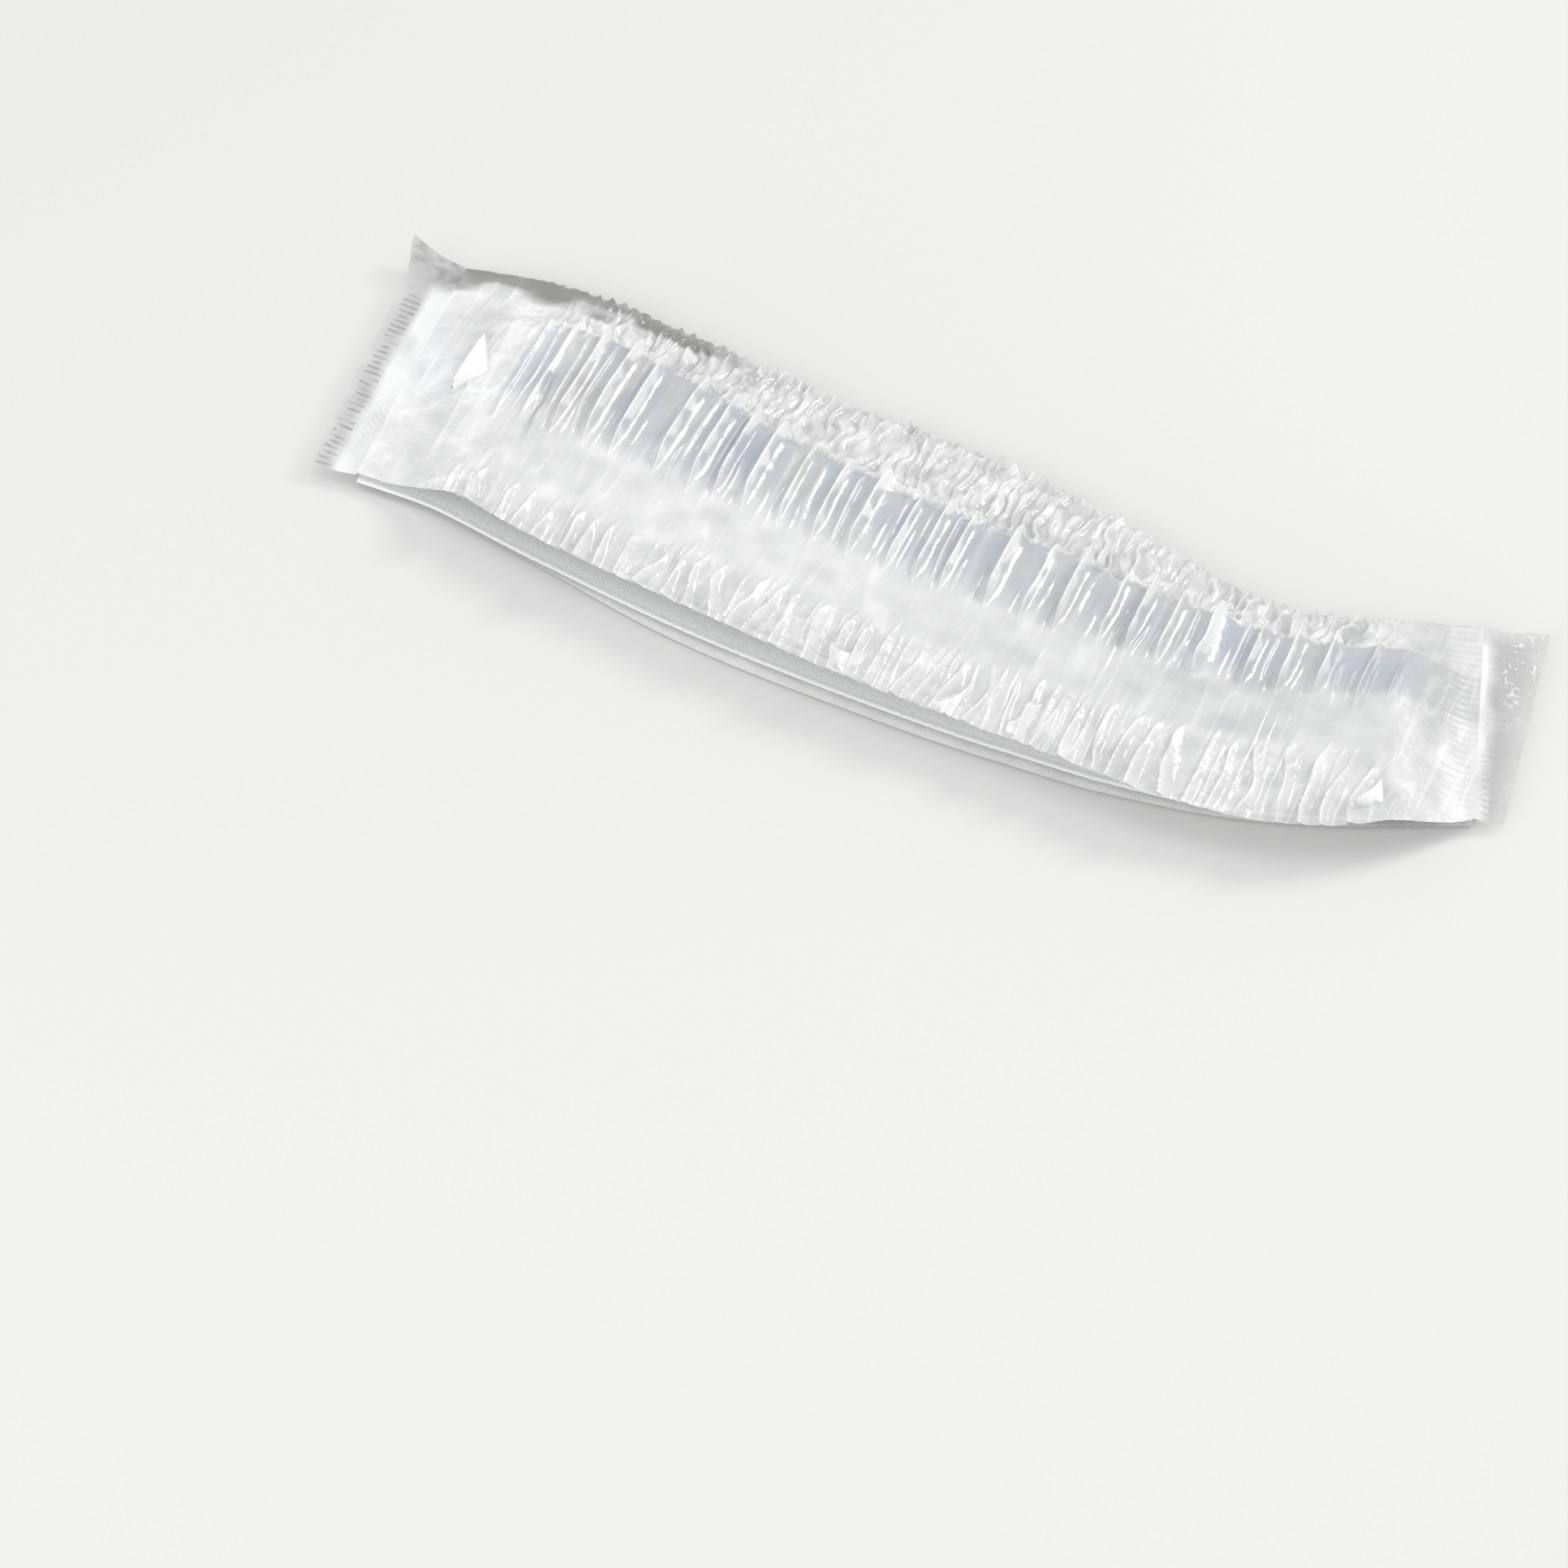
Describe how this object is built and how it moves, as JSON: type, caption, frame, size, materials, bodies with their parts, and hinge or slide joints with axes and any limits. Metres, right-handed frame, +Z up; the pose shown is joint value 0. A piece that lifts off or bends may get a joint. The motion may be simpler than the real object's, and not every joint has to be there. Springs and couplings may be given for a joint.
{
  "type": "shower cap",
  "caption": "Disposable shower cap of clear film, gathered and folded flat into a long pleated strip, with elastic along both lips of its mouth and a welded tab at each end.",
  "frame": {"origin": "middle of the strip's outline, on the surface that it lies on", "axes": "+X along the strip from the ladder weld to the plain tab, +Y away from the mouth, +Z up"},
  "size_m": [0.228, 0.0782, 0.0138],
  "materials": {
    "clear_film": "clear crinkled film, milky where it is gathered",
    "elastic": "white flat elastic",
    "welded_film": "clear film welded flat, ribbed"
  },
  "bodies": {
    "root": {"film_cap": "clear_film", "upper_elastic": "elastic", "lower_elastic": "elastic", "left_end_seal": "welded_film", "right_end_seal": "welded_film"}
  },
  "joints": []
}
